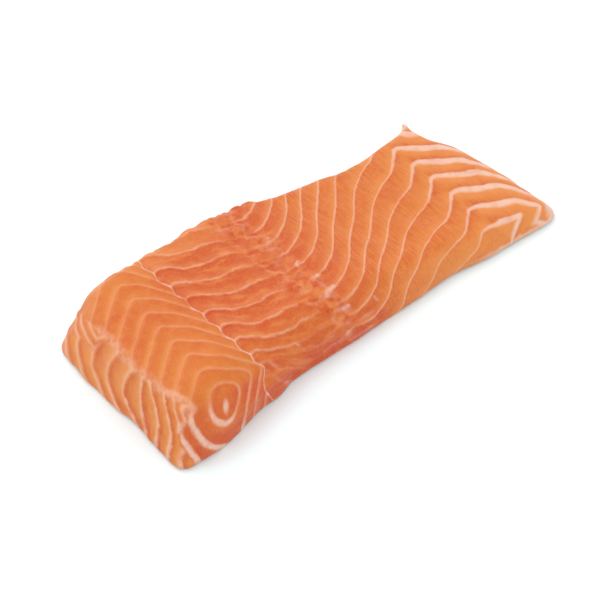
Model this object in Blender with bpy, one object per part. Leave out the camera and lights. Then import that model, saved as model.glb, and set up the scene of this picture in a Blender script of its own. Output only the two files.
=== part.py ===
"""A raw, skinless salmon fillet portion, cut straight across one side of the fish.

The long axis (X) runs from the thick back of the fish (-X) to its thin belly (+X).
The short axis (Y) runs along the fish, and both long sides are knife cuts.
The solid is one grid cube whose points are moved to the fillet's real outline and
height. Sizes are in millimetres and are turned to metres at the end.
"""

import math

import bmesh
import bpy

MM = 0.001

# Size of the grid: its real length and width, and its cells along, across and up.
LENGTH = 155.0
WIDTH = 61.0
CELLS_ALONG = 80
CELLS_ACROSS = 33
CELLS_UP = 5
EDGE_CROWDING = 0.22  # share by which the cells shrink towards the cut sides

# Both long sides in plan, as (place along, distance from the axis).
NEAR_SIDE_AT_TABLE = ((-78, -31.1), (-64, -31.3), (-56, -30.4), (-46, -27.6), (-34, -25.5),
                      (-24, -25.1), (0, -25.3), (17, -25.0), (34, -24.4), (50, -26.3), (66, -27.9),
                      (78, -28.2))
FAR_SIDE_AT_RIM = ((-78, 33.6), (-64, 32.8), (-54, 32.3), (-40, 32.6), (-28, 32.8), (-14, 33.6),
                   (0, 32.6), (7, 30.4), (14, 29.6), (28, 28.7), (38, 26.9), (50, 27.3), (61, 29.0),
                   (72, 30.6), (78, 31.0))
NEAR_LEAN = 0.4  # how far each side leans in between the table and the rim
FAR_LEAN = 1.6

# Both ends in plan, as (distance from the axis, place along).
BACK_END_AT_TABLE = ((-31, -76.8), (-19, -76.0), (-8, -74.6), (1, -75.0), (11, -74.8), (22, -73.6),
                     (34, -72.4))
BACK_END_AT_CREASE = ((-31, -69.6), (-16, -70.6), (-3, -70.8), (10, -70.4), (16, -70.0), (26, -68.6),
                      (34, -67.0))
BELLY_END_AT_TABLE = ((-30, 83.6), (-24, 83.8), (-18, 83.0), (-8, 82.4), (4, 81.4), (14, 79.6),
                      (22, 75.6), (32, 72.4))
BELLY_LEAN = 0.8

# Height of the top along the middle, and how deep its edges are rounded off.
TOP_HEIGHT = ((-76, 21.0), (-68, 21.9), (-56, 22.0), (-44, 21.4), (-32, 20.2), (-16, 18.6),
              (0, 16.6), (14, 14.4), (28, 12.4), (44, 10.8), (60, 9.2), (70, 8.0), (80, 6.4))
NEAR_ROUNDING = ((-76, 8.0), (-58, 11.0), (-30, 11.0), (0, 9.5), (30, 7.0), (60, 5.0), (80, 3.4))
FAR_ROUNDING = ((-76, 11.0), (-66, 9.0), (-56, 5.5), (-44, 3.4), (80, 3.0))
BACK_ROUNDING_AT_CREASE = 2.0
BACK_ROUNDING_AT_CORNER = 10.0
BELLY_ROUNDING = 5.5
MOST_ROUNDED_SHARE = 0.74  # of the height, that an edge's rounding may take
EDGE_REACH = 1.15  # how far an edge's rounding reaches in, for each millimetre of its depth
EDGE_POWER = 2.1
CORNER_BLEND = 8  # where two edges meet: higher lets the deeper one alone count
TABLE_ROUNDING = 1.2

# Plan radii of three corners, at the table and at the rim, and the tip of the fourth one.
CORNER_BACK_NEAR = (4.0, 6.0)
CORNER_BACK_FAR = (6.0, 11.0)
CORNER_BELLY_NEAR = (4.0, 6.0)
TIP_REACH = 3.2
TIP_WIDTH = 3.4
TIP_LIFT = 2.6

# Flakes of the belly muscle. Their edges all follow one curve, a pitch apart along the
# fish, given as (place along, distance from where the edge leaves the seam).
FLAKE_PITCH = 7.37
FLAKE_FIRST = 29.1
FLAKE_CURVE = ((-43, 0.0), (-40, 0.2), (-37.5, -1.6), (-35.5, -3.6), (-33, -5.8), (-30, -7.5),
               (-26, -8.1), (-14, -7.6), (-7, -8.3), (-2, -7.8), (2, -5.9), (8, -1.8), (16, 6.0),
               (24, 13.6), (36, 23.6), (46, 28.2), (52, 30.8), (58, 35.6), (64, 35.0), (78, 28.0))
FLAKE_STEP_BY_SEAM = 1.0
FLAKE_STEP_BY_BELLY = 0.25
FLAKE_DROP_SHARE = 0.22  # of the pitch, over which a flake's edge falls away

# The seam between the loin and the belly muscle.
SEAM_ALONG = -43.2
SEAM_WAVE = 0.6
SEAM_GROOVE_DEPTH = 0.8
SEAM_GROOVE_WIDTH = 1.6

# Dips of the top face, as (place along, across, reach, depth), and its low lumps.
HOLLOWS = ((-27, -6, 15, 0.9), (-10, 4, 7, 0.6), (-8, -14, 6, 0.5), (-12, 20, 6, 0.4))
LUMP_HEIGHT = 0.3


def curve_through(knots, place):
    """A smooth curve through (place, value) knots, level past its two ends."""
    if place <= knots[0][0]:
        return knots[0][1]
    if place >= knots[-1][0]:
        return knots[-1][1]
    last = len(knots) - 1
    index = next(i for i in range(last) if knots[i + 1][0] >= place)
    (start, low), (end, high) = knots[index], knots[index + 1]
    before = knots[max(index - 1, 0)]
    after = knots[min(index + 2, last)]
    span = end - start
    slope_in = (high - before[1]) / (end - before[0]) * span
    slope_out = (after[1] - low) / (after[0] - start) * span
    t = (place - start) / span
    return (
        low * (2 * t**3 - 3 * t**2 + 1)
        + slope_in * (t**3 - 2 * t**2 + t)
        + high * (3 * t**2 - 2 * t**3)
        + slope_out * (t**3 - t**2)
    )


def ease(low, high, value):
    """0 below low, 1 above high, and a smooth step between."""
    t = min(1.0, max(0.0, (value - low) / (high - low)))
    return t * t * (3 - 2 * t)


def mix(first, second, share):
    return first + (second - first) * share


def crowded(value):
    """Moves a grid place in -1 to 1 so that cells get smaller towards the edges."""
    return value * (1 + EDGE_CROWDING - EDGE_CROWDING * value * value)


def corner_radius(u, v, rise):
    if u > 0 and v > 0:
        return 0.0
    if u > 0:
        return mix(*CORNER_BELLY_NEAR, rise)
    return mix(*(CORNER_BACK_NEAR if v < 0 else CORNER_BACK_FAR), rise)


def rounded_square(u, v, rise):
    """Turns a grid place of the square so that its corners follow their arcs."""
    radius = corner_radius(u, v, rise)
    from_end = (1 - abs(u)) * LENGTH / 2
    from_side = (1 - abs(v)) * WIDTH / 2
    if from_end >= radius or from_side >= radius:
        return u, v
    in_from_end, in_from_side = radius - from_end, radius - from_side
    shrink = max(in_from_end, in_from_side) / math.hypot(in_from_end, in_from_side)
    new_u = 1 - (radius - in_from_end * shrink) / (LENGTH / 2)
    new_v = 1 - (radius - in_from_side * shrink) / (WIDTH / 2)
    return math.copysign(new_u, u), math.copysign(new_v, v)


def plan_point(u, v, rise):
    """Plan place of grid point (u, v), on the table at rise 0 and on the rim at rise 1."""
    u, v = rounded_square(u, v, rise)
    along = u * LENGTH / 2
    near = curve_through(NEAR_SIDE_AT_TABLE, along) + NEAR_LEAN * rise
    far = curve_through(FAR_SIDE_AT_RIM, along) + FAR_LEAN * (1 - rise)
    across = mix(near, far, (v + 1) / 2)
    back_at_table = curve_through(BACK_END_AT_TABLE, across)
    back = mix(back_at_table, curve_through(BACK_END_AT_CREASE, across), rise)
    belly = curve_through(BELLY_END_AT_TABLE, across) - BELLY_LEAN * rise
    return mix(back, belly, (u + 1) / 2), across


def edge_drop(distance, depth):
    """How far a worn edge of this depth lies below the flat, at a distance from the rim."""
    reach = EDGE_REACH * depth
    return depth * max(0.0, 1 - distance / reach) ** EDGE_POWER


def flake_edge_height(along, across):
    """Height of the flakes: each rises slowly towards the near side, then steps down."""
    turn = (FLAKE_FIRST + curve_through(FLAKE_CURVE, along) - across) / FLAKE_PITCH
    share = turn - math.floor(turn)
    if share < FLAKE_DROP_SHARE:
        return 1 - share / FLAKE_DROP_SHARE
    return (share - FLAKE_DROP_SHARE) / (1 - FLAKE_DROP_SHARE)


def seam_place(across):
    """Where the seam runs, as a shallow row of scallops, one to a flake."""
    turn = (FLAKE_FIRST - across) / FLAKE_PITCH
    return SEAM_ALONG + SEAM_WAVE * math.cos(2 * math.pi * turn)


def top_relief(along, across):
    """All low relief of the top face, in millimetres above its smooth form."""
    past_seam = along - seam_place(across)
    step = mix(FLAKE_STEP_BY_SEAM, FLAKE_STEP_BY_BELLY, ease(18, 48, past_seam))
    step *= ease(0.5, 3.0, past_seam)
    flakes = step * (flake_edge_height(along, across) - 0.5)
    groove = SEAM_GROOVE_DEPTH * math.exp(-((past_seam / SEAM_GROOVE_WIDTH) ** 2))
    hollows = sum(
        depth * math.exp(-(((along - x) ** 2 + (across - y) ** 2) / reach**2))
        for x, y, reach, depth in HOLLOWS
    )
    lumps = LUMP_HEIGHT * math.sin(along * 0.31 + 1.3) * math.cos(across * 0.27 + along * 0.11)
    return flakes - groove - hollows + lumps


def top_height(u, v, along, across):
    """Height of the top face above the table."""
    height = curve_through(TOP_HEIGHT, along)
    most = MOST_ROUNDED_SHARE * height
    from_near = (1 + v) / 2 * WIDTH
    from_far = (1 - v) / 2 * WIDTH
    from_back = (1 + u) / 2 * LENGTH
    from_belly = (1 - u) / 2 * LENGTH
    back_radius = mix(BACK_ROUNDING_AT_CREASE, BACK_ROUNDING_AT_CORNER, ease(6, 30, across))
    drops = (
        edge_drop(from_near, min(most, curve_through(NEAR_ROUNDING, along))),
        edge_drop(from_far, min(most, curve_through(FAR_ROUNDING, along))),
        edge_drop(from_back, min(most, back_radius)),
        edge_drop(from_belly, min(most, BELLY_ROUNDING)),
    )
    drop = min(most, sum(d**CORNER_BLEND for d in drops) ** (1 / CORNER_BLEND))
    inside = ease(0, 3, min(from_near, from_far, from_back, from_belly))
    return height - drop + inside * top_relief(along, across)


def pointed_tip(u, v, place):
    """Draws the thin tip out of the far belly corner, and curls it up a little."""
    along, across, height = place
    from_corner = (1 - u) * LENGTH / 2 + (1 - v) * WIDTH / 2
    share = math.exp(-((from_corner / TIP_WIDTH) ** 2)) * ease(TABLE_ROUNDING, 4, height)
    return along - 0.5 * TIP_REACH * share, across + TIP_REACH * share, height + TIP_LIFT * share


def fillet_point(u, v, w):
    """The place in millimetres of one point of the grid cube, whose axes run from -1 to 1."""
    u, v = crowded(u), crowded(v)
    top = top_height(u, v, *plan_point(u, v, 1))
    row = (w + 1) / 2 * CELLS_UP
    if row < 0.5:
        along, across = plan_point(u, v, 0)
        inward_along = 1 - TABLE_ROUNDING / (LENGTH / 2)
        inward_across = 1 - TABLE_ROUNDING / (WIDTH / 2)
        return along * inward_along, across * inward_across, 0.0
    height = mix(TABLE_ROUNDING, top, (row - 1) / (CELLS_UP - 1))
    rise = height / top
    along, across = plan_point(u, v, rise)
    return pointed_tip(u, v, (along, across, height))


def grid_cube():
    """A cube from -1 to 1 whose faces are grids."""
    mesh = bmesh.new()
    bmesh.ops.create_cube(mesh, size=2)
    for axis, cells in enumerate((CELLS_ALONG, CELLS_ACROSS, CELLS_UP)):
        edges = [
            edge
            for edge in mesh.edges
            if abs(edge.verts[0].co[axis] - edge.verts[1].co[axis]) > 1
        ]
        bmesh.ops.subdivide_edges(mesh, edges=edges, cuts=cells - 1, use_grid_fill=True)
    return mesh


def flesh_material():
    material = bpy.data.materials.new("salmon_flesh")
    material.use_nodes = True
    shader = material.node_tree.nodes["Principled BSDF"]
    shader.inputs["Base Color"].default_value = (0.76, 0.22, 0.08, 1)
    shader.inputs["Roughness"].default_value = 0.42
    shader.inputs["Metallic"].default_value = 0.0
    return material


def make_fillet(collection):
    grid = grid_cube()
    places = [fillet_point(*vertex.co) for vertex in grid.verts]
    along = [place[0] for place in places]
    across = [place[1] for place in places]
    middle_along = (min(along) + max(along)) / 2
    middle_across = (min(across) + max(across)) / 2
    for vertex, (x, y, z) in zip(grid.verts, places):
        vertex.co = ((x - middle_along) * MM, (y - middle_across) * MM, z * MM)
    bmesh.ops.recalc_face_normals(grid, faces=grid.faces)
    mesh = bpy.data.meshes.new("salmon_fillet")
    grid.to_mesh(mesh)
    grid.free()
    mesh.shade_smooth()
    mesh.materials.append(flesh_material())
    fillet = bpy.data.objects.new("salmon_fillet", mesh)
    collection.objects.link(fillet)


def main():
    for old in list(bpy.data.objects):
        bpy.data.objects.remove(old)
    collection = bpy.data.collections.new("salmon_fillet_portion")
    bpy.context.scene.collection.children.link(collection)
    make_fillet(collection)


main()
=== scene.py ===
# %% [markdown]
# A raw salmon fillet portion, seen as a learner's project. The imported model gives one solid: a slab cut
# across the fish, thick at the back of the fish and thin at the belly. This script dresses that solid.
# It keeps the slab's form, sharpens the flakes, and paints the muscle and the white lines of fat.
# Everything is worked out in millimetres on the fillet and turned to metres when it reaches the mesh.

# %% Load the solid
import math

import bmesh
import bpy
import numpy as np
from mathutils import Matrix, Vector, noise


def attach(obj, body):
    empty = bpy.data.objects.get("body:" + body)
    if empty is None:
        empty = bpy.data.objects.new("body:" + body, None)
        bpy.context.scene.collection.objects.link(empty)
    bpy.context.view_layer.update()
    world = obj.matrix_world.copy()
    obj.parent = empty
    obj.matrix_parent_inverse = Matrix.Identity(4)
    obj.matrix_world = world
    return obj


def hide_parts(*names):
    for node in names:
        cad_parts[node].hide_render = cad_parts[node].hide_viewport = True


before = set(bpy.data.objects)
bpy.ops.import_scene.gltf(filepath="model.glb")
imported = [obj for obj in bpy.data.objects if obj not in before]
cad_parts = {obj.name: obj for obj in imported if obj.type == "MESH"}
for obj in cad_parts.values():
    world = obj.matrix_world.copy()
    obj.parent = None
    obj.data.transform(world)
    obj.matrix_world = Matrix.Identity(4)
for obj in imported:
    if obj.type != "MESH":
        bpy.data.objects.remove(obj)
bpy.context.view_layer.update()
MM = 0.001

# %% [markdown]
# The camera stands as the photographer stood: above and in front of the near corner, far enough away
# that the slab's long edges stay almost parallel. A long lens does that. The camera is placed by two
# angles and a distance from a point on the slab, because those are easier to judge than coordinates.

# %% Camera
CAMERA_AZIMUTH = math.radians(-41.5)
CAMERA_ELEVATION = math.radians(46)
CAMERA_DISTANCE = 0.8
CAMERA_AIM = Vector((-11.8, -7.7, 7.6)) * MM
SENSOR_WIDTH = 36
FOCAL_LENGTH = 157.4


def towards(azimuth, elevation):
    """The unit vector from the slab towards a place at that azimuth and height above the horizon."""
    level = math.cos(elevation)
    return Vector((math.sin(azimuth) * level, -math.cos(azimuth) * level, math.sin(elevation)))


camera_data = bpy.data.cameras.new("product_camera")
camera_data.sensor_width = SENSOR_WIDTH
camera_data.lens = FOCAL_LENGTH
camera = bpy.data.objects.new("product_camera", camera_data)
bpy.context.collection.objects.link(camera)
view_direction = towards(CAMERA_AZIMUTH, CAMERA_ELEVATION)
camera.location = CAMERA_AIM + view_direction * CAMERA_DISTANCE
camera.rotation_euler = view_direction.to_track_quat("Z", "Y").to_euler()
bpy.context.scene.camera = camera
print("camera at", [round(value, 3) for value in camera.location])

# %% [markdown]
# Shop photographs of food are taken under a large soft light, so that the only shadow is a faint one
# where the food meets the table. Here the sky gives most of the light. One wide lamp stands behind the
# fillet and to its left, as the camera sees it, gives the moist surface its sheen, and puts the shadow
# on the near right side. The Standard view transform leaves colours as they are, so that a hex value
# can be compared with the picture.

# %% Soft light
SKY_STRENGTH = 1.18
SKY_WHITE = "#FFFFFF"
KEY_SIZE = 0.9
KEY_POWER = 3.0
KEY_DISTANCE = 1.2
KEY_AZIMUTH = math.radians(-170)
KEY_ELEVATION = math.radians(58)


def srgb(code):
    """A colour written as an sRGB hex code, as the linear colour that Blender's sockets take."""
    parts = [int(code[i:i + 2], 16) / 255 for i in (1, 3, 5)]
    linear = [p / 12.92 if p <= 0.04045 else ((p + 0.055) / 1.055) ** 2.4 for p in parts]
    return (*linear, 1.0)


bpy.context.scene.view_settings.view_transform = "Standard"
world = bpy.data.worlds.new("white_room")
bpy.context.scene.world = world
world.use_nodes = True
sky = world.node_tree.nodes["Background"]
sky.inputs["Color"].default_value = srgb(SKY_WHITE)
sky.inputs["Strength"].default_value = SKY_STRENGTH

key_data = bpy.data.lights.new("soft_box", "AREA")
key_data.shape = "SQUARE"
key_data.size = KEY_SIZE
key_data.energy = KEY_POWER
key = bpy.data.objects.new("soft_box", key_data)
bpy.context.collection.objects.link(key)
key_direction = towards(KEY_AZIMUTH, KEY_ELEVATION)
key.location = key_direction * KEY_DISTANCE
key.rotation_euler = key_direction.to_track_quat("Z", "Y").to_euler()
print("soft box", KEY_SIZE, "m wide at", [round(value, 2) for value in key.location])

# %% [markdown]
# The ground is matt white card, which is paper pulp, so it scatters light evenly and has hardly any
# gloss. Orange light from the fillet falls on it. The card is a very pale blue to answer that, and so
# the shadow comes out as neutral as in a shop photograph.

# %% Floor
FLOOR_SIZE = 6.0
CARD_WHITE = "#EDF8FA"
CARD_ROUGHNESS = 0.9
CARD_SPECULAR = 0.1

bpy.ops.mesh.primitive_plane_add(size=FLOOR_SIZE)
floor = bpy.context.object
floor.name = "white_sweep"
floor_paint = bpy.data.materials.new("matt_white_card")
floor_paint.use_nodes = True
card = floor_paint.node_tree.nodes["Principled BSDF"]
card.inputs["Base Color"].default_value = srgb(CARD_WHITE)
card.inputs["Roughness"].default_value = CARD_ROUGHNESS
card.inputs["Specular IOR Level"].default_value = CARD_SPECULAR
floor.data.materials.append(floor_paint)
print("floor", FLOOR_SIZE, "m wide")

# %% [markdown]
# A fillet is soft and all its edges are round, but the solid is made of flat faces about 2 mm wide. The
# solid can't be changed, so a copy stands in for it. Its triangles are paired into four-sided faces,
# because Subdivision Surface rounds those evenly and leaves dents round triangles.

# %% A copy made of quads
NODE = "salmon_fillet"
WELD_DISTANCE = 1e-6


def quad_copy(source, name):
    """An object with the source's shape, its points welded and its triangles joined in pairs."""
    shape = bmesh.new()
    shape.from_mesh(source.data)
    bmesh.ops.remove_doubles(shape, verts=shape.verts, dist=WELD_DISTANCE)
    bmesh.ops.join_triangles(
        shape, faces=shape.faces, cmp_seam=False, cmp_sharp=False, cmp_uvs=False, cmp_vcols=False,
        cmp_materials=False, angle_face_threshold=math.pi, angle_shape_threshold=math.pi)
    shape.verts.index_update()
    corners = [vert.co.copy() for vert in shape.verts]
    faces = [[vert.index for vert in face.verts] for face in shape.faces]
    shape.free()
    mesh = bpy.data.meshes.new(name)
    mesh.from_pydata(corners, [], faces)
    copied = bpy.data.objects.new(name, mesh)
    bpy.context.collection.objects.link(copied)
    return copied


fillet = quad_copy(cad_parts[NODE], "salmon_portion")
print("quads:", sum(len(face.vertices) == 4 for face in fillet.data.polygons),
      "of", len(fillet.data.polygons), "faces")

# %% [markdown]
# Two levels of subdivision bring the faces to half a millimetre, fine enough to carve flakes in. The
# flat underside needs no such detail, so Decimate thins it out again. A vertex group tells it where.

# %% A finer mesh
SUBDIVISION_LEVELS = 2
UNDERSIDE_HEIGHT = 0.02
KEPT_SHARE = 0.66


def evaluated_copy(source):
    """The mesh of an object with its modifiers applied."""
    depsgraph = bpy.context.evaluated_depsgraph_get()
    return bpy.data.meshes.new_from_object(source.evaluated_get(depsgraph))


finer = fillet.modifiers.new("finer", "SUBSURF")
finer.levels = finer.render_levels = SUBDIVISION_LEVELS
fillet.data = evaluated_copy(fillet)
fillet.modifiers.clear()
underside = fillet.vertex_groups.new(name="underside")
underside.add([vert.index for vert in fillet.data.vertices if vert.co.z < UNDERSIDE_HEIGHT * MM],
              1.0, "REPLACE")
thinner = fillet.modifiers.new("thinner", "DECIMATE")
thinner.ratio = KEPT_SHARE
thinner.vertex_group = underside.name
fillet.data = evaluated_copy(fillet)
fillet.modifiers.clear()
fillet.vertex_groups.clear()
print("faces:", len(fillet.data.polygons), "points:", len(fillet.data.vertices))

# %% [markdown]
# The flesh's pattern is soft, so it is drawn with soft tools. "curve" is a flexible ruler through a few
# knots, "rise" fades from 0 to 1 between two values, and "bump" is a hill. All of them take a whole
# numpy array at once, which is far faster than a loop over the points.

# %% Smooth curves and fades
def curve(knots, place):
    """A smooth curve through knots of (place, value), straight beyond its ends."""
    places, values = np.array(knots, float).T
    width = np.diff(places)
    slope = np.diff(values) / width
    inner = (slope[:-1] * width[1:] + slope[1:] * width[:-1]) / (width[1:] + width[:-1])
    tangent = np.concatenate((slope[:1], inner, slope[-1:]))
    place = np.asarray(place, float)
    span = np.clip(np.searchsorted(places, place) - 1, 0, len(places) - 2)
    share = np.clip((place - places[span]) / width[span], 0, 1)
    cube, square = share ** 3, share ** 2
    height = ((2 * cube - 3 * square + 1) * values[span] + (3 * square - 2 * cube) * values[span + 1]
              + width[span] * ((cube - 2 * square + share) * tangent[span]
                               + (cube - square) * tangent[span + 1]))
    below = np.minimum(place - places[0], 0) * tangent[0]
    above = np.maximum(place - places[-1], 0) * tangent[-1]
    return height + below + above


def ease(value):
    """0 below 0, 1 above 1, and an S-shaped rise between."""
    value = np.clip(value, 0, 1)
    return value * value * (3 - 2 * value)


def rise(value, start, end):
    """0 as far as start, 1 from end on, and an S-shaped rise between. The end may be below the start."""
    return ease((value - start) / (end - start))


def bump(value, middle, half_width):
    """1 at the middle, falling smoothly to 0 at half_width on each side."""
    return 1 - ease(np.abs(value - middle) / half_width)


print("halfway up a rise:", float(rise(5, 0, 10)), "and a bump:", float(bump(5, 0, 10)))

# %% [markdown]
# Fish muscle is built of W-shaped sheets, the myomeres, with a thin white wall of fat, the septum,
# between each pair. A knife cut shows them as bands between pale lines. The walls lean inside the fish.
# So the pattern is drawn once, on a plane that lies along the top face, and it is carried down into the
# solid along that lean. Then the cut sides show the same walls running down.

# %% The plane that the septa are drawn on
PATTERN_ZERO = np.array((3.5, 1.9, 0.0))
LEAN_ALONG = 0.640
LEAN_ACROSS = 0.7233
TOP_AT_ZERO = 16.8
TOP_SLOPE = 0.105


def pattern_plane(points):
    """Where each point, in mm, meets the sloping plane of the top when it slides along the septa's
    lean. u runs from the back of the fish to the belly, v along the fish."""
    x, y, z = points.T
    u = (x - LEAN_ALONG * (TOP_AT_ZERO - z)) / (1 - LEAN_ALONG * TOP_SLOPE)
    v = y - LEAN_ACROSS * (TOP_AT_ZERO - TOP_SLOPE * u - z)
    return u, v


print("a line shifts", round(LEAN_ALONG * TOP_AT_ZERO, 1), "mm towards the belly on its way down")

# %% [markdown]
# The lines of one muscle are nearly copies of each other, one flake further along the fish. So each
# muscle gets one field of numbers that rises by one from line to line: a line is wherever the number is
# whole. The belly muscle covers two thirds of the top. Its lines leave the middle seam almost level,
# sweep up across the slab, and fold back sharply near the belly edge. SEPTUM_SHAPE is that one line.
# From line to line it moves by FLAKE_PITCH, changes its shape a little, and doesn't keep quite the same
# step. At the belly's tip the lines fold once more, and the second fold is made of straight fronts.

# %% Belly muscle
FLAKE_PITCH = 7.37
FIRST_FLAKE = 29.1
MIDDLE_FLAKE = 5
SEPTUM_SHAPE = ((-43, -.2), (-40, 0), (-37.5, -1.4), (-33, -4.5), (-30, -5.5), (-26, -6.3), (-20, -5.7),
                (-14, -6.9), (-8, -7.2), (-3, -7), (2, -5.1), (8, -1.3), (16, 6.8), (24, 13.8),
                (32, 22.1), (40, 27.9), (48, 31.8), (54, 37), (57.4, 39.8), (58.6, 39.6), (61, 38),
                (66, 34.2), (72, 29.4), (75, 24), (78, 16), (84, 2))
SHAPE_CHANGE = ((-43, .35), (-25, .44), (-8, 1.14), (8, .83), (24, -.25), (40, -1.55), (58, -1.86),
                (78, -.58))
STEP_DRIFT = ((-6, 4), (0, 2.3), (2, 1.4), (4, .1), (5, -.6), (6, -.7), (8, .4), (10, 1), (11, 2.5),
              (13, 4))
FOLD_MOVES_BACK = ((8, 0), (9, 0), (10, 1), (11, 2.3), (12, 3))
FOLD_FROM = 38
FOLD_WHOLE = 48
TIP_FRONTS = ((-.104, .146, 21.68), (0, -.1, 8.6), (0, 0, 11.45))
TIP_ROUNDNESS = .05
FIELD_ROUNDS = 8
LARGEST_POWER = 30


def belly_index(points):
    """The number that is whole on each septum of the belly muscle and grows towards the near side."""
    u, v = pattern_plane(points)
    index = (FIRST_FLAKE + curve(SEPTUM_SHAPE, u) - v) / FLAKE_PITCH
    for _ in range(FIELD_ROUNDS):
        fold = curve(FOLD_MOVES_BACK, np.clip(index, FOLD_MOVES_BACK[0][0], FOLD_MOVES_BACK[-1][0]))
        moved = u + fold * rise(u, FOLD_FROM, FOLD_WHOLE)
        line = curve(SEPTUM_SHAPE, moved) + (index - MIDDLE_FLAKE) * curve(SHAPE_CHANGE, u)
        index = (FIRST_FLAKE + line + curve(STEP_DRIFT, index) - v) / FLAKE_PITCH
    lowest = index
    for a, b, c in TIP_FRONTS:
        above = (a * u + b * v + c - lowest) / TIP_ROUNDNESS
        above = np.clip(above, -LARGEST_POWER, LARGEST_POWER)
        lowest = lowest - TIP_ROUNDNESS * np.log1p(np.exp(-above))
    return lowest


slab_middle = belly_index(np.array(((0, 0, TOP_AT_ZERO),)))
print("flakes are", FLAKE_PITCH, "mm apart, and the slab's middle lies in flake", int(slab_middle[0]))

# %% [markdown]
# The loin is the round muscle along the back. Its sheets are cones packed in each other, so they show
# as closed rings round the core where the knife cut the near end, and as open peaks further along. Both
# come from one trick: each side of the rings is a straight front that rises by one from ring to ring,
# and the field is the highest of the fronts. A soft maximum in place of a sharp one rounds the corners.

# %% Loin muscle
RING_FRONTS = {
    "towards the belly": (.1498, .1300, 12.94),
    "towards the skin": (-.1247, .1516, -2.44),
    "down the near side": (.2623, -.2880, 6.15),
    "down the back": (-.1772, .0557, -9.45),
    "under the core": (-.036, -.114, -6.15),
}
FRONT_BEND = ((-58, 0), (-53, -.03), (-48.5, -.2), (-45.5, 0), (-43, .25))
RING_ROUNDNESS = .20
CORE_ROUNDNESS = .28
CORE_SHIFT = .12
CORE_RINGS = (3, 1)


def loin_index(points):
    """The number that is whole on each septum of the loin and grows away from its core."""
    u, v = pattern_plane(points)
    fronts = [a * u + b * v + c for a, b, c in RING_FRONTS.values()]
    fronts[0] = fronts[0] + curve(FRONT_BEND, np.clip(u, FRONT_BEND[0][0], FRONT_BEND[-1][0]))
    fronts = np.stack(fronts)
    highest = fronts.max(0)
    near_core = rise(highest, *CORE_RINGS)
    roundness = RING_ROUNDNESS + CORE_ROUNDNESS * near_core
    rounded = highest + roundness * np.log(np.exp((fronts - highest) / roundness).sum(0))
    return rounded - CORE_SHIFT * near_core


print("the rings have", len(RING_FRONTS), "sides")

# %% [markdown]
# The end face of the slab is the back of the fish, where the skin was. The same sheets reach it as
# upright stripes. They are given by their place along the fish at mid height, and by how a stripe
# bends from the table up to the crest: it bows at the far side and slants at the near side. Near the
# far top corner the stripes bend over until they lie level.

# %% Back face
STRIPE_PLACES = ((0, -42), (3, -33), (4, -30), (5, -27.2), (6, -22.6), (7, -16.6), (8, -8.6),
                 (9, -.6), (10, 7.2), (11, 14.7), (12, 23.8), (13, 33), (15, 50))
SLANTED_STRIPE = ((1, -1.8), (4, -1.2), (7, -1.2), (10, -.6), (12, .6), (15, 2.4), (17, 4), (20, 5.6))
BOWED_STRIPE = ((1, -8), (2.4, -6.2), (4, -4.9), (6, -2.6), (8, -.7), (11, 0), (15, -.6), (19, -2.6))
LEVEL_STRIPES = ((1, 14), (5.3, 13), (11, 12), (14.3, 11), (17, 10.2), (20, 9))
LEVEL_FROM = 6
LEVEL_WHOLE = 16
LEVEL_FADE = 4
BOW_FROM = 6.8
BOW_WHOLE = 9.0


def back_index(points):
    """The number that is whole on each stripe of the back face and grows towards the far side."""
    x, y, z = points.T
    indices, places = np.array(STRIPE_PLACES, float).T
    index = np.interp(y, places, indices)
    for _ in range(FIELD_ROUNDS):
        bowed = rise(index, BOW_FROM, BOW_WHOLE)
        bend = bowed * curve(BOWED_STRIPE, z) + (1 - bowed) * curve(SLANTED_STRIPE, z)
        index = np.interp(y - bend, places, indices)
    level = curve(LEVEL_STRIPES, z) + LEVEL_FADE * rise(y, LEVEL_WHOLE, LEVEL_FROM)
    return np.minimum(index, level)


print("stripes in the table:", len(STRIPE_PLACES))

# %% [markdown]
# Two seams part the muscles. The middle seam runs the length of the fish and is scalloped, because
# each flake bulges into it. The crest is where the top meets the back face. Both are written as
# (u, v) places on the plane of the septa, read from near to far.

# %% Seams
MIDDLE_SEAM = ((-53, -52), (-51.5, -46), (-50.5, -40), (-48.4, -35.2), (-46.4, -32.9), (-43.4, -30),
               (-43.2, -26), (-43.2, 40))
CREST = ((-92, -60), (-86, -46), (-83, -37.9), (-78.4, -33.9), (-73, -31.4), (-71.4, -28),
         (-71.5, -23), (-73, -18), (-72.8, -12), (-73.4, -6.5), (-72.4, 1), (-71.7, 7), (-71.6, 14.6),
         (-71.8, 22), (-72, 40))
SCALLOP_DEPTH = .4
SCALLOP_FROM = -32
SCALLOP_WHOLE = -26


def seam_distances(points):
    """How far each point lies past the middle seam and past the crest, in mm along u."""
    u, v = pattern_plane(points)
    middle = curve([(place, at) for at, place in MIDDLE_SEAM], v)
    flakes = (FIRST_FLAKE - v) / FLAKE_PITCH
    scallop = SCALLOP_DEPTH * np.cos(2 * np.pi * flakes) * rise(v, SCALLOP_FROM, SCALLOP_WHOLE)
    crest = curve([(place, at) for at, place in CREST], v)
    return u - middle - scallop, u - crest


print("the loin shows", round(MIDDLE_SEAM[-1][0] - CREST[-1][0], 1), "mm wide at the far side")

# %% [markdown]
# Subdivision leaves faint steps where the solid's faces met. They are rubbed away as with a sanding
# block: each point of the top moves a little towards the middle of its neighbours, again and again.
# The far back corner is rounder on the real fillet than the solid has it, so it gets more of the same.

# %% Smooth the copy
TOP_ROUNDS = 14
CORNER_ROUNDS = 26
SMOOTHING = .8
FACES_UP = (.80, .95)
FAR_BACK_CORNER = (-74, 34)
CORNER_REACH = (28, 20)
CORNER_RISES = (0, 5)


def read_vectors(elements, name):
    """The vectors of that name of all the points, as rows of three numbers."""
    values = np.zeros(len(elements) * 3, np.float32)
    elements.foreach_get(name, values)
    return values.reshape(-1, 3).astype(float)


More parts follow.
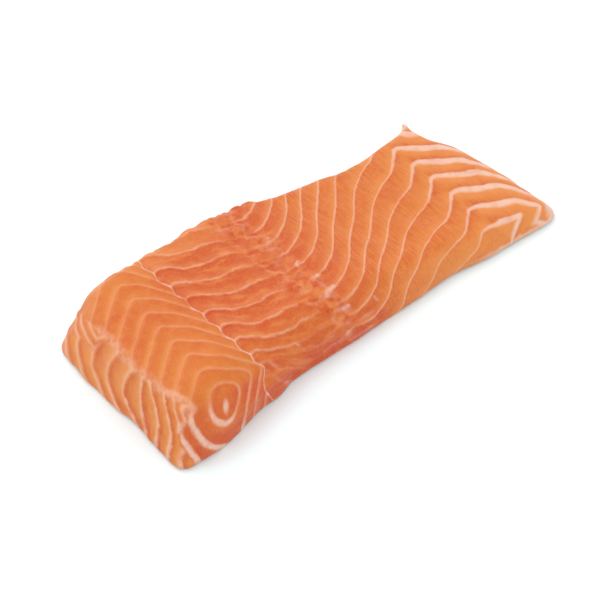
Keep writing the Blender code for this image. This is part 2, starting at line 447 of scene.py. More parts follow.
def distance_from(place, points):
    """How far each point lies from a place, seen from above."""
    return np.hypot(points[:, 0] - place[0], points[:, 1] - place[1])


def relaxed(points, edges, weight, rounds):
    """The points after each has moved, round after round, towards the middle of its neighbours."""
    first, second = edges.T
    count = np.bincount(edges.ravel(), minlength=len(points))[:, None]
    for _ in range(rounds):
        around = np.stack([np.bincount(first, points[second, axis], len(points))
                           + np.bincount(second, points[first, axis], len(points))
                           for axis in range(3)], 1)
        points = points + weight[:, None] * (around / count - points)
    return points


mesh = fillet.data
edges = np.zeros(len(mesh.edges) * 2, np.int32)
mesh.edges.foreach_get("vertices", edges)
edges = edges.reshape(-1, 2)
points = read_vectors(mesh.vertices, "co") / MM + PATTERN_ZERO
normals = read_vectors(mesh.vertices, "normal")
on_top = rise(normals[:, 2], *FACES_UP)
at_corner = rise(distance_from(FAR_BACK_CORNER, points), *CORNER_REACH)
at_corner *= rise(points[:, 2], *CORNER_RISES)
points = relaxed(points, edges, SMOOTHING * on_top, TOP_ROUNDS)
points = relaxed(points, edges, SMOOTHING * at_corner, CORNER_ROUNDS)
print("points:", len(points), "edges:", len(edges))

# %% [markdown]
# A knife leaves small points and hollows in the outline that the solid only roughly has. A modeller
# would pull them into place with a soft brush, and PULLS does the same: each entry is a place, how far
# the brush reaches, and how far it pulls, all in millimetres and seen from above.

# %% Pull the outline into place
PULLS = (
    ((69.3, 32.5), 5, (1.5, -.3)),
    ((-71.5, 29.5), 8, (-.7, .7)),
    ((-75, 19.5), 10, (-.8, -.1)),
    ((-35.5, -26.3), 8, (.4, -1.1)),
    ((50, -25.5), 17, (.1, -.8)),
)

for centre, reach, pull in PULLS:
    points[:, :2] += ease(1 - distance_from(centre, points) / reach)[:, None] * pull
print("pulled in", len(PULLS), "places")

# %% [markdown]
# Every point now looks up its place in the three fields. The shader needs real widths, so it also
# needs the distance in millimetres from one line to the next. That is one over the field's steepness
# along the surface. A real septum is never a clean curve either, so noise is added to the fields
# before anything uses them. The lip that is carved and the fat that is painted then wander together.

# %% Where each point lies in the muscles
GRADIENT_STEP = .05
WIDEST_SPACING = 40
BELLY_WANDER = ((-43, .45), (-20, .55), (-8, .50), (2, .28), (40, .20), (80, .16))
LOIN_WANDER = .16
BACK_WANDER = .35
SEAM_WANDER = .35
LUMP_SIZE = 9
KNOB_SIZE = 3.1
CRUMB_SIZE = 1.5


def grain(points, size, seed):
    """Smooth noise between about -1 and 1 whose lumps are about size mm wide."""
    shift = Vector((seed * 17.3, seed * 5.1, seed * 9.7))
    return np.array([noise.noise(Vector(point) / size + shift) for point in points])


def spacing_of(index_of, points, normals):
    """The field, the distance in mm from line to line on the surface, and which way the field rises."""
    here = index_of(points)
    slope = np.stack([(index_of(points + axis * GRADIENT_STEP) - here) / GRADIENT_STEP
                      for axis in np.eye(3)], 1)
    slope -= normals * (slope * normals).sum(1, keepdims=True)
    steepness = np.maximum(np.linalg.norm(slope, axis=1), 1 / WIDEST_SPACING)
    return here, 1 / steepness, slope / steepness[:, None]


u, v = pattern_plane(points)
z = points[:, 2]
belly_u = np.clip(u, -43, 80)
belly, belly_spacing, _ = spacing_of(belly_index, points, normals)
loin, loin_spacing, loin_rise = spacing_of(loin_index, points, normals)
back, back_spacing, _ = spacing_of(back_index, points, normals)
lumps = grain(points, LUMP_SIZE, 1)
knobs = grain(points, KNOB_SIZE, 2)
crumbs = grain(points, CRUMB_SIZE, 3)
wander = .8 * knobs + .6 * lumps + .35 * crumbs
belly += curve(BELLY_WANDER, belly_u) * wander / belly_spacing
loin += LOIN_WANDER * wander / loin_spacing
back += BACK_WANDER * wander / back_spacing
past_middle, past_crest = seam_distances(points)
past_middle += SEAM_WANDER * wander
past_crest += SEAM_WANDER * wander
print("belly lines", int(belly.min()), "to", int(belly.max()), "with about",
      round(float(np.median(belly_spacing)), 1), "mm between them")

# %% [markdown]
# Masks say where something holds: 1 inside, 0 outside, with a soft edge. These tell the three muscles
# and the directions of the surface apart, and the later cells mix them.

# %% Masks for the muscles and the sides
SEAM_SOFTNESS = .4

in_belly = rise(past_middle, -SEAM_SOFTNESS, SEAM_SOFTNESS)
in_back = rise(-past_crest, -SEAM_SOFTNESS, SEAM_SOFTNESS)
in_loin = (1 - in_belly) * (1 - in_back)
upward = rise(normals[:, 2], .25, .70)
downward = rise(-normals[:, 2], .5, .8)
to_near_side = rise(-normals[:, 1], .1, .6)
to_far_side = rise(normals[:, 1], .2, .6) * rise(z, 3, 8)
print("share of points in the belly, the loin and the back:",
      [round(float(mask.mean()), 2) for mask in (in_belly, in_loin, in_back)])

# %% [markdown]
# Between the flat sheets beside the seam and the upright ones of the belly lies a strip where the
# septa tore: it is lumpy, and shreds of fat stick up from it. On the near side a few septa run out in
# thin branches, and one flake bulges over the edge as a round lobe. Branches and shreds are short
# smooth paths on the plane of the septa, through a few (u, v) places. A shred starts with its reach.

# %% Torn strip, branches, shreds and lobe
GAP_AT = -9.5
GAP_HALF_WIDTH = 9
BRANCHES = (
    ((-42.7, -27.4), (-40.3, -28.2), (-40.2, -31.2), (-40, -33.6)),
    ((-43.6, -30.6), (-43.6, -34.6), (-43.2, -38), (-42, -38.5)),
    ((-29, -31), (-25.3, -32.2), (-21.6, -32.2), (-16.6, -31.1), (-11.3, -27.8), (-7, -25)),
    ((-24.3, -35.3), (-18.3, -34.9), (-12.9, -33.9), (-8.5, -32.1), (-3.4, -30.9), (3.3, -30.9)),
    ((-15, -36.3), (-10.8, -36.2), (-5.2, -35.9)),
)
SHREDS = (
    (.50, (-5.6, 12), (-4.2, 13.4)),
    (.75, (-6, -1.2), (-4.5, -.4)),
    (.65, (-6.1, -9.4), (-3.4, -8.2)),
    (.90, (-7.6, -16.9), (-3.0, -14.9)),
    (.70, (-7.9, -24.4), (-5.2, -24.2)),
    (.60, (3.6, -27.6), (4.2, -26.2)),
    (.60, (-13.8, -33.8), (-12.6, -33)),
    (.45, (-29.6, -26.8), (-28.4, -28.8)),
    (1.1, (-80.6, -35.3), (-77.6, -33)),
)
LOBE_AT = (-31.8, -28.4)
LOBE_HALF_LENGTH = 4.2
LOBE_HALF_WIDTH = 2.8
STEPS_PER_KNOT = 6


def distance_to(knots, u, v):
    """The distance in mm from each point to a smooth path drawn on the plane of the septa."""
    order = range(len(knots))
    steps = np.linspace(0, len(knots) - 1, STEPS_PER_KNOT * len(knots))
    path_u, path_v = [curve(list(zip(order, values)), steps) for values in zip(*knots)]
    nearest = np.full(len(u), np.inf)
    for u0, v0, u1, v1 in zip(path_u, path_v, path_u[1:], path_v[1:]):
        share = ((u - u0) * (u1 - u0) + (v - v0) * (v1 - v0)) / ((u1 - u0) ** 2 + (v1 - v0) ** 2)
        share = np.clip(share, 0, 1)
        nearest = np.minimum(nearest, np.hypot(u - u0 - share * (u1 - u0), v - v0 - share * (v1 - v0)))
    return nearest


gap = bump(u, GAP_AT, GAP_HALF_WIDTH) * in_belly * upward
branch = np.min([distance_to(knots, u + .25 * wander, v) for knots in BRANCHES], axis=0)
shred = np.max([reach - distance_to(knots, u, v) for reach, *knots in SHREDS], axis=0) - .8 * crumbs
lobe = bump(np.hypot((u - LOBE_AT[0]) / LOBE_HALF_LENGTH, (v - LOBE_AT[1]) / LOBE_HALF_WIDTH), 0, 1)
print("points in the torn strip:", int((gap > .5).sum()), "in shreds:", int((shred > 0).sum()))

# %% [markdown]
# Now the copy is carved. Raw salmon begins to flake where it is handled: each sheet ends in a thin lip
# and the next one lies a little lower in front of it, like roof tiles. That is strongest beside the
# middle seam and fades out towards the belly. The seams are shallow grooves. Every form is a number of
# millimetres by which a point moves along its normal, so the forms can be worked out one by one and
# simply added up.

# %% Flakes and grooves
FLAKE_HEIGHT = ((-48, .15), (-43, .34), (-30, .30), (-20, .26), (-12, .18), (0, .12), (50, .08),
                (60, .16), (80, .16))
DROP_SHARE = .14
LEVEL_SHARE = .6
SEAM_DEPTH = .35
SEAM_AT = .2
SEAM_HALF_WIDTH = 1.2
BRANCH_DEPTH = .30
BRANCH_HALF_WIDTH = 1.0
RING_DEPTH = .14
RING_HALF_WIDTH = .7
STRIPE_HEIGHT = .26
STRIPE_HALF_WIDTH = 1.9
SHRED_HEIGHT = .22
LOBE_HEIGHT = .50


def near_line(index, spacing):
    """The distance in mm to the nearest line."""
    return np.abs(index - np.round(index)) * spacing


belly_share = belly - np.floor(belly)
tile = np.where(belly_share < DROP_SHARE, rise(belly_share, DROP_SHARE, 0),
                rise(belly_share, DROP_SHARE, 1))
flakes = curve(FLAKE_HEIGHT, u) * (tile - LEVEL_SHARE) * in_belly * np.maximum(upward, to_far_side)
grooves = (SEAM_DEPTH * bump(past_middle, SEAM_AT, SEAM_HALF_WIDTH) * upward
           + BRANCH_DEPTH * bump(branch, 0, BRANCH_HALF_WIDTH) * (1 - .5 * upward)
           + RING_DEPTH * bump(near_line(loin, loin_spacing), 0, RING_HALF_WIDTH) * in_loin)
ridges = (STRIPE_HEIGHT * bump(near_line(back, back_spacing), 0, STRIPE_HALF_WIDTH) * in_back
          + SHRED_HEIGHT * ease(shred) * in_belly
          + LOBE_HEIGHT * lobe * in_belly)
print("flakes stand", round(float(flakes.max() - flakes.min()), 2), "mm high")

# %% [markdown]
# The rest is unevenness: the far rim is a row of round lumps, the torn strip is rough, the crest is
# worn where the skin was pulled off, and all of the surface is slightly wavy, because no flesh is flat.
# The relief stops at the table and under the fillet, so that the piece still lies flat.

# %% Rough places, and moving the points
RIM_LUMP_SIZE = 6.5
RIM_HEIGHT = 1.3
CREST_HEIGHT = .20
CREST_HALF_WIDTH = 3.0
CREST_ROUGHNESS = .35
GAP_KNOBS = .62
GAP_CRUMBS = .38
WAVES = .26

crest_wear = rise(v, 16, 10) * rise(v, -36, -32)
near_crest_end = rise(v, -16, -22)
rim_lumps = 2 * np.abs(grain(points, RIM_LUMP_SIZE, 4)) - .5
far_rim = to_far_side * rise(u, -60, -46) * rise(u, 12, -4)
crest_crumbs = CREST_ROUGHNESS * crumbs + .5 * crumbs * near_crest_end
roughness = (RIM_HEIGHT * rim_lumps * far_rim
             + (CREST_HEIGHT + crest_crumbs) * bump(past_crest, 0, CREST_HALF_WIDTH) * crest_wear
             + CREST_ROUGHNESS * crumbs * in_back * rise(v, -6, -18)
             + (GAP_KNOBS * knobs + GAP_CRUMBS * crumbs) * gap
             + WAVES * lumps + .10 * knobs + .05 * crumbs)
relief = (flakes - grooves + ridges + roughness) * rise(z, 0, 1.5) * (1 - downward)
points = points + normals * relief[:, None]
points[:, 2] = np.maximum(points[:, 2], 0)
moved = ((points - PATTERN_ZERO) * MM).astype(np.float32)
mesh.vertices.foreach_set("co", moved.ravel())
mesh.polygons.foreach_set("use_smooth", [True] * len(mesh.polygons))
mesh.update()
print("relief from", round(float(relief.min()), 2), "to", round(float(relief.max()), 2), "mm")

# %% [markdown]
# The shader draws the lines itself, pixel by pixel, so they stay sharp however coarse the mesh is. It
# has to be told how. Those numbers are stored on the mesh as attributes, because what took numpy to
# work out would be far too long as shader nodes. First come the lines: half their width, how softly
# they end, and how pale, white and ragged they are. Belly lines are thin beside the seam, vanish in
# the torn strip, and grow to thick bands of fat at the tip. The knots of these curves are (u, value).

# %% How wide and how pale each line is
BELLY_HALF_WIDTH = ((-43, .36), (-20, .38), (-14, .36), (-8, .36), (-5, .40), (0, .31), (20, .31),
                    (50, .38), (56, .58), (60, .90), (66, 1.08), (72, .95), (76, .60), (80, .60))
BELLY_SOFT = ((-43, .34), (-10, .34), (0, .24), (50, .24), (60, .42), (80, .44))
BELLY_PALENESS = ((-43, .48), (-30, .46), (-22, .40), (-18, .26), (-15, .04), (-8, .04), (-6, .25),
                  (-4, .40), (-1.5, .42), (0, .44), (20, .46), (50, .58), (60, .80), (78, .88))
BELLY_RAGGED = ((-43, .30), (-20, .45), (-10, .60), (0, .24), (40, .18), (56, .12), (80, .10))

near_ring = rise(v, -27, -34) * in_loin
thick_side = near_ring * rise(u + .45 * (v + 38), -61, -69)
skin_leg = in_loin * (1 - near_ring) * rise(-loin_rise[:, 0], .35, .75)
tip_legs = in_belly * rise(v, -25, -27) * rise(u, 52, 55)
rolled_under = in_belly * rise(v, -25, -29) * rise(u, -12, -20)
near_back = rise(v, -2, -16) * in_back
far_corner = rise(v, 20, 24) * rise(past_crest, -6, 0)
back_half_width = np.minimum(.52 - .12 * near_back + .35 * rise(z, 12, 3), .22 * back_spacing)
back_soft = np.minimum(.62 - .20 * near_back, .16 * back_spacing)
attributes = {
    "septum_half": (in_belly * curve(BELLY_HALF_WIDTH, belly_u) * (1 - .40 * tip_legs)
                    + in_loin * (.36 + .45 * skin_leg + .50 * thick_side)
                    + in_back * back_half_width),
    "septum_soft": (in_belly * curve(BELLY_SOFT, belly_u)
                    + in_loin * (.42 + .50 * skin_leg + .15 * thick_side)
                    + in_back * back_soft),
    "septum_pale": (in_belly * curve(BELLY_PALENESS, belly_u) * (1 - rolled_under)
                    + in_loin * (.32 - .08 * skin_leg + .16 * near_ring + .34 * thick_side)
                    + in_back * (.40 + .14 * near_back) * (1 - .8 * far_corner)),
    "whiteness": (in_belly * (.60 + .15 * rise(u, -12, -2) + .15 * rise(u, 50, 60))
                  + in_loin * (.38 - .38 * skin_leg + .15 * near_ring + .40 * thick_side)
                  + in_back * (.55 + .20 * near_back + .15 * rise(z, 12, 4))),
    "ragged": (in_belly * curve(BELLY_RAGGED, belly_u) + in_loin * .16
               + in_back * (.15 + .45 * near_back)),
}
print("lines are", round(2 * float(attributes["septum_half"].max()), 1), "mm wide at most")

# %% [markdown]
# Between two lines the muscle isn't one flat colour, because light and shade are painted across each
# band. A flake catches the light on its lip, so the band is made paler there as a painted highlight, and
# behind the line before it lies a dip, which is made darker as painted shade. So each band goes from
# painted shade to a painted highlight. At the belly's tip and on the back it does so the other way round,
# which "lit_below" says. There the painted highlight also starts sooner, and the line fades out more
# slowly on its lit side.

# %% Painted highlight and shade across each band
BELLY_SHADE = ((-43, .95), (-36, .75), (-28, .45), (-10, .40), (0, .50), (40, .52), (56, 1.0), (78, 1.0))
BELLY_LIP_HIGHLIGHT = ((-43, .40), (-20, .28), (-10, .30), (0, .45), (40, .50), (60, .62), (80, .62))

fat_belly = in_belly * rise(u, 55, 60)
attributes |= {
    # How strong the painted shade in each dip is.
    "band_shade": (in_belly * curve(BELLY_SHADE, belly_u) * (1 - .7 * rolled_under)
                   + in_loin * .40 + in_back * (.50 + .30 * near_back)),
    "band_lip_highlight": (in_belly * curve(BELLY_LIP_HIGHLIGHT, belly_u) * (1 - .7 * rolled_under)
                 # How strong the painted highlight on each lip is.
                 + in_loin * (.28 + .30 * skin_leg) + in_back * .85),
    "lit_below": in_belly * rise(u, 55, 58) + in_back,
    "light_side": 1.5 + in_back + 1.2 * fat_belly,
    "lip_highlight_from": .50 - .45 * in_back - .35 * fat_belly,
}
print("bands are turned at", int((attributes["lit_below"] > .5).sum()), "points")

# %% [markdown]
# The muscle's colour also changes slowly. It is redder beside the seam, where there is more blood, and
# yellower towards the belly, where the flesh itself holds more fat. Low on the near side it turns a
# deeper red towards the table: that is painted shade, where the undercut shades it. A few places are
# simply pale. Fibres show only on the belly, which the knife cut across.

# %% The tone of the muscle
BELLY_REDNESS = ((-43, .40), (-30, .36), (-10, .42), (-3, .42), (6, .28), (16, .12), (30, .06), (80, 0))
BELLY_FATNESS = ((-43, 0), (0, 0), (30, .15), (50, .35), (58, .55), (80, .80))

# Painted shade: low on the near side the flesh is made a deeper red towards the table, where the undercut
# shades it.
near_foot_shade = rise(z, 12, 3) * to_near_side * rise(u, 12, -12)
redness_and_shade = (in_belly * curve(BELLY_REDNESS, belly_u) * (1.3 - .7 * rise(v, -8, -22))
           + in_loin * .05 + near_ring * (.42 + .58 * rise(u, -61, -53))
           + in_back * .20 * rise(z, 12, 2) + near_foot_shade + .15 * rolled_under - .3 * lobe)
fatness = (in_belly * curve(BELLY_FATNESS, belly_u) + in_back * .38
           + in_loin * (1 - near_ring) * (.15 + .4 * rise(v, 10, 24) + .25 * rise(v, 4, -12)))
pale_places = (.65 * rise(v, 20, 28) * rise(u, -8, -18)
               + .75 * rise(points[:, 0], 5, 40) * rise(v, -20, -26) + .6 * lobe)
attributes |= {
    "redness_and_shade": np.clip(redness_and_shade, 0, 1),
    "fatness": fatness,
    "paleness": np.clip(in_belly * pale_places + .15 * near_ring, 0, 1),
    "fibrous": in_belly * rise(u, -4, 10),
}
print("redness from", round(float(redness_and_shade.min()), 2), "to", round(float(redness_and_shade.max()), 2))

# %% [markdown]
# Some places are nearly all fat or sinew. The innermost cone of the loin ends in a pale sliver, the
# core of the rings. The belly's tip, the far point and the edge along the table are pale as well, and
# shreds of what held the skin cling to the crest. Last, all the fields are stored on the mesh.

# %% Fat, core and crest, and storing the attributes
CORE_AT = (-62.8, -35.1)
CORE_AXIS = (.663, .749)
CORE_HALF_LENGTH = 3.4
CORE_HALF_WIDTH = .9
BELLY_TIP = (82.5, -28)
FAR_POINT = (69.3, 32.5)
TORN_AT = .2

along_core = (u - CORE_AT[0]) * CORE_AXIS[0] + (v - CORE_AT[1]) * CORE_AXIS[1]
across_core = (u - CORE_AT[0]) * CORE_AXIS[1] - (v - CORE_AT[1]) * CORE_AXIS[0]
torn = bump(past_crest, TORN_AT, CREST_HALF_WIDTH)
tip_fat = rise(distance_from(BELLY_TIP, points) - crumbs, 6.5, 3.5)
point_fat = rise(distance_from(FAR_POINT, points), 3.5, 1.5)
table_fat = rise(z - .8 * crumbs, 3.3, 2.3) * rise(points[:, 0], 40, 60) * rise(-normals[:, 1], 0, .5)
attributes |= {
    "belly_index": belly, "belly_spacing": belly_spacing,
    "loin_index": -loin, "loin_spacing": loin_spacing,
    "back_index": back, "back_spacing": back_spacing,
    "past_middle": past_middle, "past_crest": past_crest,
    "lengthwise": u, "gap": gap, "branch": branch, "shred": shred,
    "core": 1 - np.hypot(along_core / CORE_HALF_LENGTH, across_core / CORE_HALF_WIDTH),
    "torn": np.clip(torn * crest_wear * (.85 + .5 * near_crest_end), 0, 1),
    "pale_fat": np.clip(tip_fat + .8 * table_fat + point_fat, 0, 1),
    "underside": downward,
}
for name, values in attributes.items():
    stored = mesh.attributes.new(name, "FLOAT", "POINT")
    stored.data.foreach_set("value", values.astype(np.float32))
print("attributes:", len(attributes))

# %% [markdown]
# The material is raw salmon muscle, cut with a knife and wet. It is orange from the pigment in the
# fish's food. Light goes a few millimetres into it and comes back redder, which softens every edge,
# and the film of water on it gives a soft, broken gloss. The fat of the septa has hardly any pigment,
# so it is a pale pink. The material is built node by node. One function adds any node, with its
# settings and what it is linked to, and gives back one of its outputs.

# %% Adding a node
salmon = bpy.data.materials.new("raw_salmon_muscle")
salmon.use_nodes = True
tree = salmon.node_tree


def add(kind, settings=None, out=0, **links):
    """Adds one shader node, sets its properties, and fills its sockets with values or other outputs.
    A socket is named by its words joined by _, or by in0, in1 where several share a name."""
    node = tree.nodes.new("ShaderNode" + kind)
    for name, value in (settings or {}).items():
        setattr(node, name, value)
    for name, value in links.items():
        by_number = name[:2] == "in" and name[2:].isdigit()
        socket = node.inputs[int(name[2:]) if by_number else name.replace("_", " ")]
        if isinstance(value, bpy.types.NodeSocket):
            tree.links.new(value, socket)
        else:
            socket.default_value = value
    return node.outputs[out]


field = {name: add("Attribute", {"attribute_name": name}, "Fac") for name in attributes}
object_place = add("TexCoord", out="Object")
print("fields in the material:", len(field))

# %% [markdown]
# All the unevenness of the paint is noise, and every noise needs four things: how wide its lumps are in
# millimetres, how finely they are broken up, which part of the noise counts, and what it becomes. So
# they stand in one table, and one loop makes their nodes. Where an entry gives no part, the noise is
# used as it is, and otherwise it fades softly from one end of that part to the other. A muscle fibre
# is some 0.1 mm thick, a third of a pixel, so the fibres are drawn 0.38 mm wide to show at all. They
# are noise too, stretched along one way and turned.

# %% Patterns of noise
PATTERNS = {
    # How the lines wander, how wide they are, how rough their edge is, and where they are worn thin.
    "wander": (1.3, 2, None, (-1, 1)),
    "line_width": (2.5, 2, None, (.5, 1.5)),
    "line_edge": (.7, 2, None, (-.5, .5)),
    "line_wear": (3.5, 2, (.30, .60), (0, 1)),
    # The muscle: uneven painted shade in the dips, pale patches, marbling, dark clouds, specks, and
    # fibres that come and go.
    "dip_shade_patches": (5, 2, (.25, .75), (.35, 1.45)),
    "pale_patches": (4, 2, None, (.3, 1.1)),
    "marbling": (3, 4, (.45, .75), (0, .22)),
    "clouds": (8, 2, (.48, .75), (0, .35)),
    "specks": (.5, 3, (.35, .65), (0, .20)),
    "fibre_patches": (5, 2, None, (.18, .468)),
    "fibres_on_top": (.38, 1, None, (0, 1), (1, .06, .30), .11),
    "fibres_at_tip": (.38, 1, None, (0, 1), (1, .08, .30), .38),
    # The torn strip: darker spots, and where its veins show.
    "dark_spots": (3.6, 1, (.50, .66), (0, .60)),
    "vein_patches": (4, 2, (.35, .60), (0, .28)),
    # Fat: the middle seam's width and patches, the core, the shreds, the branches and the crest.
    "seam_width": (2.5, 2, None, (.20, .75)),
    "seam_patches": (3.5, 2, (.30, .70), (.25, .85)),
    "core_patches": (1.5, 2, None, (.3, .9)),
    "shred_patches": (1.8, 3, (.15, .65), (0, .60)),
    "branch_patches": (4, 2, (.30, .70), (0, .28)),
    "torn_patches": (2.2, 3, (.32, .62), (.225, .75)),
    # The film of water.
    "wet_grain": (.9, 3, None, (0, 1)),
}
EVENLY = (1, 1, 1)

pattern = {}
for name, (size, detail, ends, becomes, *fibre) in PATTERNS.items():
    stretch, turn = fibre or (EVENLY, 0)
    scaled = add("Mapping", Vector=object_place, Rotation=(0, 0, turn),
                 Scale=[share / (size * MM) for share in stretch])
    rough = add("TexNoise", Vector=scaled, Scale=1.0, Detail=detail)
    start, end = ends or (0, 1)
    pattern[name] = add("MapRange", {"interpolation_type": "SMOOTHSTEP" if ends else "LINEAR"},
                        Value=rough, From_Min=start, From_Max=end, To_Min=becomes[0], To_Max=becomes[1])
print("patterns:", len(pattern), "nodes so far:", len(tree.nodes))

# %% [markdown]
# The shader finds out where it is: in which muscle, how far through the band between two lines, and
# how many millimetres from the nearest line. FRACT gives how far through, and PINGPONG the way to the
# nearest whole number. The spacing in millimetres, stored on the mesh, turns that into a real distance.

# %% The place between two lines
NUMBERS = {"data_type": "FLOAT"}
COLOURS = {"data_type": "RGBA"}
SOFTLY = {"interpolation_type": "SMOOTHSTEP"}
PLUS = {"operation": "ADD"}
MINUS = {"operation": "SUBTRACT"}
TIMES = {"operation": "MULTIPLY"}

wobble = add("Math", TIMES, in0=pattern["wander"], in1=field["ragged"])
from_middle = add("Math", PLUS, in0=field["past_middle"], in1=wobble)
from_crest = add("Math", PLUS, in0=field["past_crest"], in1=wobble)
is_belly = add("Math", {"operation": "GREATER_THAN"}, in0=from_middle, in1=0)
is_below_crest = add("Math", {"operation": "GREATER_THAN"}, in0=from_crest, in1=0)
here = {}
for name in ("index", "spacing"):
    above = add("Mix", NUMBERS, in0=is_below_crest, in2=field["back_" + name], in3=field["loin_" + name])
    here[name] = add("Mix", NUMBERS, in0=is_belly, in2=above, in3=field["belly_" + name])
shift = add("Math", {"operation": "DIVIDE"}, in0=wobble, in1=here["spacing"])
index = add("Math", PLUS, in0=here["index"], in1=shift)
through = add("Math", {"operation": "FRACT"}, in0=index)
turned = add("Math", MINUS, in0=1, in1=through)
band = add("Mix", NUMBERS, in0=field["lit_below"], in2=through, in3=turned)
to_line = add("Math", {"operation": "PINGPONG"}, in0=index, in1=.5)
from_line = add("Math", TIMES, in0=to_line, in1=here["spacing"])
print("nodes so far:", len(tree.nodes))

# %% [markdown]
# A line is pale where that distance is less than its half width. Its edge is a bit rough, but never by
# more than LARGEST_ROUGH_EDGE, or thick bands would look chewed. It ends softly, and fades out more
# slowly on the side where the lip is lit. In some places the line is worn thin.

# %% The lines of fat
LARGEST_ROUGH_EDGE = .35
LIT_SIDE = (.35, .65)
WORN_THIN = .85
WHOLE_LINE = 1.05

half = add("Math", TIMES, in0=field["septum_half"], in1=pattern["line_width"])
rough_reach = add("Math", {"operation": "MINIMUM"}, in0=half, in1=LARGEST_ROUGH_EDGE)
rough_edge = add("Math", TIMES, in0=pattern["line_edge"], in1=rough_reach)
edge = add("Math", PLUS, in0=from_line, in1=rough_edge)
edge = add("Math", MINUS, in0=edge, in1=half)
on_lit_side = add("MapRange", SOFTLY, Value=band, From_Min=LIT_SIDE[0], From_Max=LIT_SIDE[1])
fade_reach = add("Mix", NUMBERS, in0=on_lit_side, in2=1, in3=field["light_side"])
line = add("MapRange", SOFTLY, Value=edge, To_Min=1, To_Max=0,
           From_Min=add("Math", TIMES, in0=field["septum_soft"], in1=-1),
           From_Max=add("Math", TIMES, in0=field["septum_soft"], in1=fade_reach))
thin_places = add("Math", MINUS, in0=WORN_THIN, in1=field["ragged"])
wear = add("Mix", NUMBERS, in0=pattern["line_wear"], in2=thin_places, in3=WHOLE_LINE)
print("nodes so far:", len(tree.nodes))

# %% [markdown]
# Masks for the muscle come next: the painted shade in the dip behind each line, the painted highlight on
# the lip before the next one, and the fibres. Beside the seam the knife went along the sheets, and there
# thin pale layers show instead.
# They follow the lines, because their noise is looked up by index and not by place.

# %% Painted shade in the dips, painted highlights on the lips, fibres and layers
LAYERS_PER_FLAKE = 2.6
LAYER_LENGTH = 7.7
LAYER_STRENGTH = .42

# Painted shade: each band is made darker just behind its line, in the dip.
painted_dip_shade = add("MapRange", SOFTLY, Value=band, From_Min=-.15, From_Max=.62, To_Min=.9, To_Max=0)
# Painted highlight: each band is made paler towards the lip of its flake, where it catches the light.
painted_lip_highlight = add("MapRange", SOFTLY, Value=band, From_Min=field["lip_highlight_from"], From_Max=1.0)
fibres = add("Mix", NUMBERS, in0=field["lit_below"], in2=pattern["fibres_on_top"],
             in3=pattern["fibres_at_tip"])
fibres = add("MapRange", SOFTLY, Value=fibres, From_Min=.38, From_Max=.64)
across = add("Math", TIMES, in0=index, in1=LAYERS_PER_FLAKE)
along = add("Math", TIMES, in0=field["lengthwise"], in1=1 / LAYER_LENGTH)
layers = add("TexNoise", Vector=add("CombineXYZ", X=across, Y=along), Scale=1.0, Detail=3.0)
layers = add("MapRange", SOFTLY, Value=layers, From_Min=.48, From_Max=.72, To_Max=LAYER_STRENGTH)
without_fibres = add("Math", MINUS, in0=1, in1=field["fibrous"])
print("nodes so far:", len(tree.nodes))

# %% [markdown]
# The torn strip shows bits of sheets that lie every way, so it has darker spots, pale scraps and a net of
# thin veins. The veins are the borders of Voronoi cells. Their straight sides would look like cracked
# glass, so the place where the pattern is looked up is first pushed about by noise.

# %% The torn strip
TWIST_SIZE = 5
TWIST_REACH = 4
VEIN_SPACING = 5.5
VEIN_SHARE = .22
SCRAP_SIZE = 4
SCRAP_SHIFT = 9
SCRAP_STRENGTH = .42

push = add("TexNoise", out="Color", Vector=object_place, Scale=1 / (TWIST_SIZE * MM))
twisted = add("VectorMath", {"operation": "MULTIPLY_ADD"}, in0=push, in1=[TWIST_REACH * MM] * 3,
              in2=object_place)
cell_edge = add("TexVoronoi", {"feature": "DISTANCE_TO_EDGE"}, Vector=twisted,
                Scale=1 / (VEIN_SPACING * MM))
veins = add("MapRange", SOFTLY, Value=cell_edge, From_Min=0, From_Max=VEIN_SHARE, To_Min=1, To_Max=0)
shifted = add("VectorMath", PLUS, in0=twisted, in1=(0, 0, SCRAP_SHIFT * MM))
scraps = add("TexNoise", Vector=shifted, Scale=1 / (SCRAP_SIZE * MM), Detail=3.0)
scraps = add("MapRange", SOFTLY, Value=scraps, From_Min=.48, From_Max=.66, To_Max=SCRAP_STRENGTH)
in_gap = add("MapRange", SOFTLY, Value=field["gap"], From_Min=.10, From_Max=.60)
deeper_in_gap = add("MapRange", SOFTLY, Value=field["gap"], From_Min=.15, From_Max=.60)
print("nodes so far:", len(tree.nodes))

# %% [markdown]
# The middle seam, the core of the rings, the shreds and the branches are distances in the fields, and
# each becomes a mask that fades out with that distance.

# %% Masks for fat and sinew
BRANCH_WIDTH = 1.2

from_seam = add("Math", {"operation": "ABSOLUTE"}, in0=from_middle)
seam = add("MapRange", SOFTLY, Value=from_seam, From_Min=0, From_Max=pattern["seam_width"],
           To_Min=1, To_Max=0)
core = add("MapRange", SOFTLY, Value=field["core"], From_Min=-.35, From_Max=.60)
shreds = add("MapRange", SOFTLY, Value=field["shred"], From_Min=-.40, From_Max=.80)
branches = add("MapRange", SOFTLY, Value=field["branch"], From_Min=0, From_Max=BRANCH_WIDTH,
               To_Min=1, To_Max=0)
print("nodes so far:", len(tree.nodes))

# %% [markdown]
# Now the flesh is painted in coats, as a painter would: first the muscle from broad to fine, then the
# torn strip, and over it all that is fat. Each coat is a colour and the masks that say where it goes.
# Their product is how strongly it covers what is below. The underside lay on the skin, which has left
# a grey pink layer of fat there.

# %% The coats of paint
ORANGE = srgb("#C56124")
DEEP_RED = srgb("#BB3D20")
FAT_ORANGE = srgb("#CE7A30")
# A deep orange, for the painted shade in the dips and also for darker clouds and spots.
SHADE_AND_DEEP_ORANGE = srgb("#BC3A08")
# A pale orange, for pale places and also for the painted highlight on each lip.
PALE_ORANGE_AND_HIGHLIGHT = srgb("#DA8C4C")
SEPTUM_PEACH = srgb("#DC9660")
FAT_WHITE = srgb("#E0BCAC")
SINEW_PINK = srgb("#DDA588")
TIP_PINK = srgb("#DDB7A4")
SKIN_SIDE = srgb("#C9A596")

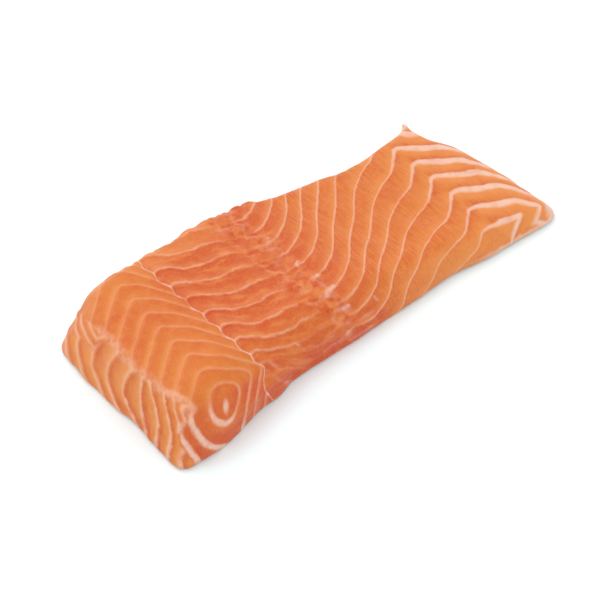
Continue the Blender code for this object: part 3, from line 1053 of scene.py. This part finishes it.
line_fat = add("Mix", COLOURS, 2, in0=field["whiteness"], in6=SEPTUM_PEACH, in7=FAT_WHITE)
coats = (
    # Deeper red: more blood beside the seam, and painted shade low on the near side.
    (DEEP_RED, field["redness_and_shade"]),
    (FAT_ORANGE, field["fatness"]),
    # Painted shade in the dip behind each line.
    (SHADE_AND_DEEP_ORANGE, painted_dip_shade, pattern["dip_shade_patches"], field["band_shade"]),
    # Painted highlight on the lip before the next line.
    (PALE_ORANGE_AND_HIGHLIGHT, painted_lip_highlight, field["band_lip_highlight"]),
    (PALE_ORANGE_AND_HIGHLIGHT, field["paleness"], pattern["pale_patches"]),
    (PALE_ORANGE_AND_HIGHLIGHT, pattern["marbling"]),
    (SHADE_AND_DEEP_ORANGE, pattern["clouds"]),
    (PALE_ORANGE_AND_HIGHLIGHT, pattern["specks"]),
    (PALE_ORANGE_AND_HIGHLIGHT, fibres, pattern["fibre_patches"], field["fibrous"]),
    (PALE_ORANGE_AND_HIGHLIGHT, layers, without_fibres, is_belly),
    (SHADE_AND_DEEP_ORANGE, pattern["dark_spots"], in_gap),
    (PALE_ORANGE_AND_HIGHLIGHT, scraps, in_gap),
    (SINEW_PINK, veins, deeper_in_gap, pattern["vein_patches"]),
    (line_fat, line, field["septum_pale"], wear),
    (FAT_WHITE, seam, pattern["seam_patches"]),
    (FAT_WHITE, core, pattern["core_patches"]),
    (FAT_WHITE, shreds, pattern["shred_patches"]),
    (FAT_WHITE, branches, pattern["branch_patches"]),
    (SINEW_PINK, field["torn"], pattern["torn_patches"]),
    (TIP_PINK, field["pale_fat"], .75),
    (SKIN_SIDE, field["underside"], .8),
)

flesh = ORANGE
for colour, strength, *masks in coats:
    for mask in masks:
        strength = add("Math", TIMES, in0=strength, in1=mask)
    flesh = add("Mix", COLOURS, 2, in0=strength, in6=flesh, in7=colour)
print("coats:", len(coats), "nodes:", len(tree.nodes))

# %% [markdown]
# Wet muscle has an IOR of about 1.36, a little above that of water. Its gloss is soft, because the
# film of water follows every fibre, and a fine bump breaks it up. Of the light that goes in, red
# travels about a millimetre and a half, and green and blue much less.

# %% The wet surface
GLOW_DEPTH = 1.4
BUMP_HEIGHT = .12
SURFACE = {
    "Subsurface Weight": .25,
    "Subsurface Radius": (1.0, .35, .18),
    "Subsurface Scale": GLOW_DEPTH * MM,
    "IOR": 1.36,
    "Roughness": .42,
    "Specular IOR Level": .35,
}

shader = tree.nodes["Principled BSDF"]
for name, value in SURFACE.items():
    shader.inputs[name].default_value = value
wet = add("Bump", Height=pattern["wet_grain"], Distance=BUMP_HEIGHT * MM, Strength=.5)
tree.links.new(flesh, shader.inputs["Base Color"])
tree.links.new(wet, shader.inputs["Normal"])
mesh.materials.clear()
mesh.materials.append(salmon)
print("material:", salmon.name, "with", len(tree.nodes), "nodes")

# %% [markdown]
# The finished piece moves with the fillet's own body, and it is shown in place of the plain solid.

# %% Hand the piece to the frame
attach(fillet, "root")
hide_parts(NODE)
